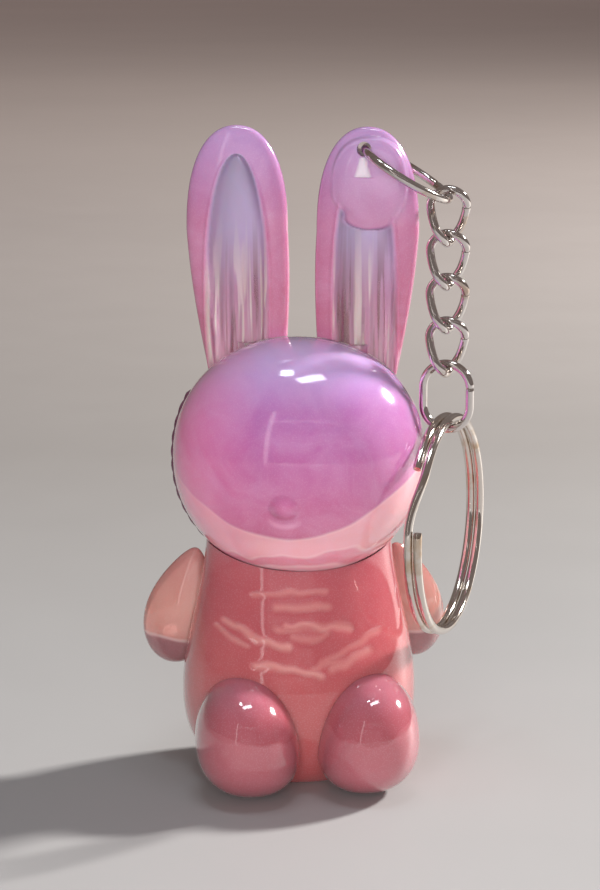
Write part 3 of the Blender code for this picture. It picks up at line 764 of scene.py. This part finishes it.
def make_ear(name, node, side, material):
    around, levels = 192, 230
    rows = []
    for level in range(levels):
        share = level / levels
        part = 1 - (1 - share) ** 1.5
        height = EAR_BASE_Z + (EAR_TOP_Z - EAR_BASE_Z) * part
        centre, half, thick = ear_section(height)
        angles = np.linspace(0, 2 * math.pi, around, endpoint=False)
        c, s = np.cos(angles), np.sin(angles)
        x = side * centre + half * np.sign(c) * np.abs(c) ** EAR_SQUARENESS
        y = EAR_Y + thick * np.sign(s) * np.abs(s) ** EAR_SQUARENESS
        front = s < -TINY
        channel = scoop_surface(x, height, side)
        deepest = EAR_Y + thick * 0.6
        dug = np.minimum(soft_max(y, channel, 0.1 * MM), deepest)
        y = np.where(front, np.maximum(y, dug) - lip(scoop_across(x, height, side)[0]), y)
        if side > 0:
            boss = boss_surface(x, height)
            raised = -soft_max(-y, -boss, 0.1 * MM)
            on_boss = front & (boss < y + 0.3 * MM)
            y = np.where(on_boss, np.minimum(raised, y), y)
            y = y - lip(boss_share(x, height) + 0.14) * front + drip(x, height) * front
        rows.append(np.stack((x, y, np.full(around, height)), axis=1))
    ear = skin(name, rows, (rows[0].mean(axis=0), (side * EAR_X, EAR_Y, EAR_TOP_Z)))
    if side > 0:
        reach = Vector((0, 6 * MM, 0))
        combine(ear, rod(BORE - reach, BORE + reach, BORE_RADIUS), "DIFFERENCE")
    seat = HEAD_HALF + LIMB_GAP
    combine(ear, rounded("seat", seat, HEAD_CENTRE, HEAD_FULLNESS, 128, 80), "DIFFERENCE")
    foot = Vector((side * EAR_PEG_PLACE[0], EAR_PEG_PLACE[1], EAR_BASE_Z - EAR_PEG_DEPTH))
    combine(ear, rod(foot, foot + Vector((0, 0, EAR_PEG_LENGTH)), EAR_PEG_RADIUS), "UNION")
    mark_clear(ear, side)
    if side > 0:
        # paint a reflection into the groove below the bore
        mark_painted_light(ear, drip_painted_reflection)
    finish_piece(ear, "head", [node], material, turned_head,
                 EAR_SOFT_EDGE, 60)


def mark_clear(ear, side):
    """Say how clear each point is: the channel's thin floor is the clearest, the rim cloudy."""
    places = np.array([v.co for v in ear.data.vertices])
    x, z = places[:, 0], places[:, 2]
    amount = np.clip((1.08 - scoop_across(x, z, side)[0]) / 0.16, 0, 1)
    if side > 0:
        boss = np.clip((1.06 - boss_share(x, z)) / 0.12, 0, 1)
        amount = np.maximum(amount * (1 - boss), boss * 0.12)
    attribute = ear.data.attributes.new("clearness", "FLOAT", "POINT")
    attribute.data.foreach_set("value", amount.astype(np.float32))


# --- torso and limbs -----------------------------------------------------------------------

def torso_radius(height):
    if height < TORSO_WIDE_Z:
        drop = (TORSO_WIDE_Z - height) / TORSO_BOTTOM_REACH
        return TORSO_HALF_WIDTH * (1 - drop ** TORSO_FULLNESS) ** (1 / TORSO_FULLNESS)
    rise = min((height - TORSO_WIDE_Z) / (TORSO_TOP_Z - TORSO_WIDE_Z), 1)
    taper = rise * rise * (3 - 2 * rise)
    return TORSO_HALF_WIDTH + (TORSO_TOP_HALF_WIDTH - TORSO_HALF_WIDTH) * taper


def torso_depth(height):
    """The torso's depth as a share of its width."""
    rise = min(max(height - TORSO_WIDE_Z, 0) / (TORSO_TOP_Z - TORSO_WIDE_Z), 1)
    return TORSO_DEPTH + (TORSO_TOP_DEPTH - TORSO_DEPTH) * rise * rise * (3 - 2 * rise)


def torso_body(name, shrink, around=160, levels=90, ripple=0.0):
    """The torso's outer body, or one that is smaller by shrink all round."""
    rows = []
    angles = np.linspace(0, 2 * math.pi, around, endpoint=False)
    bottom_corner = 0.5 * MM
    for i in range(levels + 1):
        share = i / levels
        height = shrink + (TORSO_TOP_Z - shrink) * share ** 1.25
        near_floor = max(1 - (height - shrink) / bottom_corner, 0)
        radius = torso_radius(height) - shrink - bottom_corner * 0.5 * near_floor ** 2
        flatten = (torso_radius(height) * torso_depth(height) - shrink)
        flatten /= torso_radius(height) - shrink
        row = np.stack((radius * np.cos(angles), radius * flatten * np.sin(angles),
                        np.full(around, height)), axis=1)
        if ripple:
            push = [1 - ripple * crinkle(point) / TORSO_HALF_WIDTH for point in row]
            row[:, :2] *= np.array(push)[:, None]
        rows.append(row)
    return skin(name, rows, ((0, 0, shrink), (0, 0, TORSO_TOP_Z)))


def near_line(x, z, line):
    """Distance from a place to a broken line, in mm."""
    least = 1e9
    for (ax, az), (bx, bz) in zip(line, line[1:]):
        along_x, along_z = bx - ax, bz - az
        share = ((x - ax) * along_x + (z - az) * along_z) / (along_x ** 2 + along_z ** 2)
        share = min(max(share, 0), 1)
        least = min(least, math.hypot(x - ax - share * along_x, z - az - share * along_z))
    return least


def belly_folds():
    """Short bent lines over the belly that dip towards its middle: (width, height, points)."""
    draw = random.Random(FOLD_SEED)
    folds = []
    for _ in range(FOLD_COUNT):
        x, z = draw.uniform(*FOLD_STARTS), draw.uniform(*FOLD_HEIGHTS)
        length = draw.uniform(*FOLD_LENGTHS)
        slope = FOLD_DIP * (x + length / 2) + draw.uniform(-FOLD_STRAY, FOLD_STRAY)
        bend = draw.uniform(-0.5, 0.5)
        points = ((x, z), (x + length / 2, z + slope * length / 2 + bend),
                  (x + length, z + slope * length))
        folds.append((draw.uniform(*FOLD_WIDTHS), draw.uniform(0.5, 1.0), points))
    return folds


folds = belly_folds()


def crinkle(point):
    """0 to 1: how far the front wall is drawn up into a fold at a place; the same share paints a pale
    highlight on the fold.
    """
    x, y, z = point[0] / MM, point[1] / MM, point[2] / MM
    if y > -3 or not 5 < z < 26:
        return 0.0
    x += 0.5 * noise.noise((x * 0.5, 0, z * 0.5))
    z += 0.5 * noise.noise((x * 0.5, 9, z * 0.5))
    fold = 0.0
    for width, height, line in folds:
        fold = max(fold, height * math.exp(-(near_line(x, z, line) / width) ** 2))
    return fold


def mark_painted_light(obj, amount):
    """Write how pale each point of a mesh is, from painted light: highlights on the folds, the caustic
    below the nose, the reflection in the groove.
    """
    attribute = obj.data.attributes.new("pale", "FLOAT", "POINT")
    for value, vert in zip(attribute.data, obj.data.vertices):
        value.value = amount(vert.co)


def head_clearance(extra):
    widest = HEAD_HALF[0]
    half = np.array((widest, widest, HEAD_HALF[2])) + extra
    return rounded("clearance", half, HEAD_CENTRE, HEAD_FULLNESS, 128, 80)


def make_torso(material):
    shell = torso_body("torso", 0.0, around=300, levels=170, ripple=FOLD_RISE)
    combine(shell, head_clearance(LIMB_GAP), "DIFFERENCE")
    cavity = torso_body("cavity", TORSO_WALL, 96, 48)
    combine(cavity, head_clearance(FIT_GAP + HEAD_WALL), "DIFFERENCE")
    combine(shell, cavity, "DIFFERENCE")
    combine(shell, rod((0, 0, 16 * MM), (0, 0, 30 * MM), STEM_HOLE), "DIFFERENCE")
    back = add_object("torso_rear", shell.data.copy())
    shell.name = "torso_front"
    for piece, side in ((shell, 1), (back, -1)):
        bm = bmesh.new()
        bmesh.ops.create_cube(bm, size=2 * CUT_REACH)
        bmesh.ops.translate(bm, vec=(0, side * (CUT_REACH - SEAM_GAP), 0), verts=bm.verts)
        mesh = bpy.data.meshes.new("half")
        bm.to_mesh(mesh)
        bm.free()
        combine(piece, add_object("half", mesh), "DIFFERENCE", "MANIFOLD")
    for piece, node in ((shell, "torso_front_shell"), (back, "torso_back_shell")):
        # paint highlights onto the folds of the wall
        mark_painted_light(piece, crinkle)
        finish_piece(piece, "torso", [node], material, None, SOFT_EDGE, 55)


def make_arm(name, node, side, material):
    """A drop-shaped flipper that leans outwards and trails back."""
    arm = rounded(name, (1, 1, 1), segments=96, rings=72)
    turn = Matrix.Rotation(side * ARM_YAW, 4, "Z") @ Matrix.Rotation(side * -ARM_LEAN, 4, "Y")
    place = Matrix.Translation((side * ARM_CENTRE.x, ARM_CENTRE.y, ARM_CENTRE.z)) @ turn
    for vert in arm.data.vertices:
        narrow = 1 - ARM_NARROW * vert.co.z - ARM_ROUND * vert.co.z ** 2
        drop = Vector((vert.co.x * ARM_HALF.x * narrow, vert.co.y * ARM_HALF.y * narrow,
                       vert.co.z * ARM_HALF.z))
        vert.co = place @ drop
    combine(arm, torso_body("arm_seat", -LIMB_GAP, 96, 60), "DIFFERENCE")
    combine(arm, head_clearance(FIT_GAP), "DIFFERENCE")
    finish_piece(arm, "torso", [node], material, None, SOFT_EDGE, 50)


def make_foot(name, node, side, material):
    """An egg that points forwards, wider below, with a flat patch to stand on."""
    foot = rounded(name, (1, 1, 1), fullness=FOOT_FULLNESS, segments=128, rings=96)
    for vert in foot.data.vertices:
        narrow = 1 - FOOT_NARROW * vert.co.z
        x = vert.co.x * FOOT_HALF.x * narrow + FOOT_SPLAY * vert.co.z * FOOT_HALF.z
        height = FOOT_CENTRE.z + vert.co.z * FOOT_HALF.z
        vert.co = (side * (FOOT_CENTRE.x + x), FOOT_CENTRE.y + vert.co.y * FOOT_HALF.y,
                   max(height, 0))
    if side < 0:
        foot.data.flip_normals()
    combine(foot, torso_body("foot_seat", -LIMB_GAP, 96, 60), "DIFFERENCE")
    finish_piece(foot, "torso", [node], material, None, SOFT_EDGE, 50)


# --- wire ----------------------------------------------------------------------------------

def wire(name, points, radius):
    """Round wire along a line of points, with slightly rounded ends."""
    curve = bpy.data.curves.new(name, "CURVE")
    curve.dimensions = "3D"
    curve.bevel_depth = radius
    curve.bevel_resolution = 8
    curve.use_fill_caps = True
    spline = curve.splines.new("POLY")
    spline.points.add(len(points) - 1)
    for point, place in zip(spline.points, points):
        point.co = (*place, 1)
        point.radius = 1.0
    spline.points[0].radius = 0.86
    spline.points[-1].radius = 0.86
    bent = add_object(name + "_line", curve)
    graph = bpy.context.evaluated_depsgraph_get()
    mesh = bpy.data.meshes.new_from_object(bent.evaluated_get(graph))
    bpy.data.objects.remove(bent)
    bm = bmesh.new()
    bm.from_mesh(mesh)
    bmesh.ops.remove_doubles(bm, verts=bm.verts, dist=WELD)
    bmesh.ops.recalc_face_normals(bm, faces=bm.faces)
    bm.to_mesh(mesh)
    bm.free()
    return add_object(name, mesh)


def oval_point(distance, long, wide, twist, middle_yaw):
    """The point of a twisted link's centreline at a share, 0 to 1, of the way round it."""
    end = wide / 2
    straight = long - wide
    arc = math.pi * end
    length = 2 * (straight + arc)
    s = (distance % 1) * length
    if s < straight:
        x, z = end, -straight / 2 + s
    elif s < straight + arc:
        a = (s - straight) / end
        x, z = end * math.cos(a), straight / 2 + end * math.sin(a)
    elif s < 2 * straight + arc:
        x, z = -end, straight / 2 - (s - straight - arc)
    else:
        a = math.pi + (s - 2 * straight - arc) / end
        x, z = end * math.cos(a), -straight / 2 + end * math.sin(a)
    yaw = middle_yaw - twist * z / (long / 2)
    return Vector((x * math.cos(yaw), x * math.sin(yaw), z))


def make_link(name, node, body, hold, long, wide, twist, yaw, material, cut_at):
    drop = Vector((0, 0, STEP - long / 2)) + hold
    length = 2 * (long - wide) + math.pi * wide
    gap = WIRE_CUT / length
    steps = 120
    points = [oval_point(cut_at + gap / 2 + (1 - gap) * i / steps, long, wide, twist, yaw) + drop
              for i in range(steps + 1)]
    link = wire(name, points, WIRE / 2)
    finish_piece(link, body, [node], material, turned_head)


def make_hanger(material):
    """The ring through the ear: it leaves the bore along y and drops outwards."""
    out = Vector((math.cos(HANGER_DROP), 0, -math.sin(HANGER_DROP)))
    steps = 140
    gap = WIRE_CUT / HANGER_RADIUS
    points = []
    for i in range(steps + 1):
        angle = HANGER_CUT + gap / 2 + (2 * math.pi - gap) * i / steps
        points.append(BORE + out * HANGER_RADIUS * (1 - math.cos(angle))
                      + Vector((0, HANGER_RADIUS * math.sin(angle), 0)))
    ring = wire("ear_jump_ring", points, WIRE / 2)
    finish_piece(ring, "hanger", ["hanger_ring"], material, turned_head)
    return BORE + out * 2 * HANGER_RADIUS


def make_split_ring(hold, material):
    """Two turns of wire side by side; the wire changes sides at the joggle."""
    across = Vector((math.cos(RING_YAW), math.sin(RING_YAW), 0))
    normal = Vector((math.sin(RING_YAW), -math.cos(RING_YAW), 0))
    centre = hold + Vector((0, 0, WIRE / 2 + RING_PLAY + RING_WIRE / 2 - RING_RADIUS))
    side = (RING_WIRE + RING_COIL_GAP) / 2
    turns = 4 * math.pi - JOGGLE_SPAN
    steps = 420
    points = []
    for i in range(steps + 1):
        travelled = turns * i / steps
        angle = JOGGLE_ANGLE + JOGGLE_SPAN / 2 + travelled
        change = (travelled - (2 * math.pi - JOGGLE_SPAN)) / JOGGLE_SPAN
        change = min(max(change, 0), 1)
        offset = side * (2 * change * change * (3 - 2 * change) - 1)
        points.append(centre + across * RING_RADIUS * math.cos(angle)
                      + Vector((0, 0, -RING_RADIUS * math.sin(angle))) + normal * offset)
    ring = wire("key_split_ring", points, RING_WIRE / 2)
    finish_piece(ring, "key_ring", ["split_ring"], material, turned_head)


def make_chain(material, ring_material):
    hold = make_hanger(material)
    for number in range(1, LINKS + 1):
        make_link(f"curb_link_{number}", f"chain_link_{number}", f"link_{number}", hold,
                  LINK_LONG, LINK_WIDE, LINK_TWIST, RING_YAW - LINK_TWIST, material, LINK_CUT)
        hold = hold + Vector((0, 0, STEP - LINK_LONG))
    make_link("chain_end_ring", "end_jump_ring", "end_ring", hold, END_LONG, END_WIDE, 0,
              RING_YAW - math.pi / 2, material, END_CUT)
    make_split_ring(hold + Vector((0, 0, STEP - END_LONG)), ring_material)


# --- all of it -----------------------------------------------------------------------------

make_camera()
make_lights()
make_floor()

lilac = pearl_plastic(
    "lilac_pearl",
    # lilac towards the tips, in the rim and in the channel: partly the pearl's own tint, partly a
    # painted reflection of the light from above
    [(44, srgb(190, 100, 132)), (52, srgb(194, 108, 142)), (62, srgb(196, 122, 162)),
     (70, srgb(188, 140, 194)), (73, srgb(190, 154, 208))],
    scatter=0.45, clear=0.1, depth=1.5, clear_attribute="clearness", roughness=(0.14, 0.22),
    clear_stops=[(44, srgb(232, 180, 200)), (54, srgb(208, 156, 192)), (61, srgb(218, 198, 242)),
                 # the pale colour is the painted reflection in the groove below the bore
                 (73, srgb(226, 214, 252))], pale=srgb(250, 244, 246))
magenta = pearl_plastic(
    "magenta_pearl",
    # lighter lilac to the top: partly the pearl's own tint, partly a painted reflection of the light
    # from above
    [(23, srgb(208, 128, 146)), (29, srgb(200, 108, 144)), (36, srgb(192, 104, 160)),
     (43, srgb(186, 118, 182)), (46.5, srgb(196, 158, 216)), (49.5, srgb(210, 184, 230))],
    scatter=0.55, clear=0.06, depth=2.0,
    # painted reflection of the lit floor on the head's lower part, each band with a painted highlight
    # line along its edge
    painted_light_zones=[(28.9, 0.036, 0.5, srgb(240, 172, 180), 0.25),
           (26.6, 0.01, 2.4, srgb(224, 142, 158), 0.25),
           (25.4, 0.0, 1.2, srgb(242, 178, 188), 0.4)],
    # painted glow of light through the head's left side; the pale colour is the painted caustic below
    # the nose
    painted_left_glow=srgb(244, 136, 178), coat_roughness=0.09, pale=srgb(240, 176, 206))
coral = pearl_plastic(
    "coral_clear",
    [(0, srgb(196, 88, 90)), (8, srgb(194, 96, 98)), (18, srgb(190, 92, 100)),
     (26, srgb(188, 92, 104))],
    scatter=0.6, clear=0.14, depth=2.5, pearl=srgb(214, 132, 134),
    # painted sheen on the sides seen edge on; the pale colour paints highlights on the belly folds
    sides=(11.3, 20.0, srgb(194, 106, 108)), pale=srgb(230, 158, 154))
rose = pearl_plastic(
    "rose_clear",
    [(0, srgb(172, 86, 92)), (6, srgb(170, 88, 96)), (10, srgb(172, 90, 102)),
     (13, srgb(184, 112, 130))],
    scatter=0.6, clear=0.08, depth=2.5, pearl=srgb(192, 120, 134),
    # painted floor reflection: the feet paler below the level
    painted_light_zones=[(7.4, 0.02, 2.6, srgb(180, 102, 112), 0.0)])
clear_rose = pearl_plastic(
    "salmon_clear",
    [(11, srgb(220, 150, 142)), (18, srgb(236, 172, 160)), (25, srgb(224, 156, 152))],
    scatter=0.25, clear=0.5, depth=1.5, pearl=srgb(244, 196, 184),
    # painted shade: the arms darker and greyer below the level, with a painted highlight line along
    # its edge
    painted_light_zones=[(14.8, 0.0, 1.2, srgb(178, 122, 128), 0.6)])
chrome = chrome_material("chrome_wire_bright", srgb(222, 216, 212), srgb(196, 176, 160))
ring_chrome = chrome_material("split_ring_bright", srgb(226, 218, 210), srgb(204, 182, 158))

make_head(magenta)
make_seam_beads(bead_material())
make_ear("ear_left_skin", "ear_left", -1, lilac)
make_ear("ear_right_skin", "ear_right", 1, lilac)
make_torso(coral)
for side, word in ((-1, "left"), (1, "right")):
    make_arm(f"arm_{word}_skin", f"arm_{word}", side, clear_rose)
    make_foot(f"foot_{word}_skin", f"foot_{word}", side, rose)
make_chain(chrome, ring_chrome)

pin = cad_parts["neck_pin"]
pin.data.materials.clear()
pin.data.materials.append(pin_material())
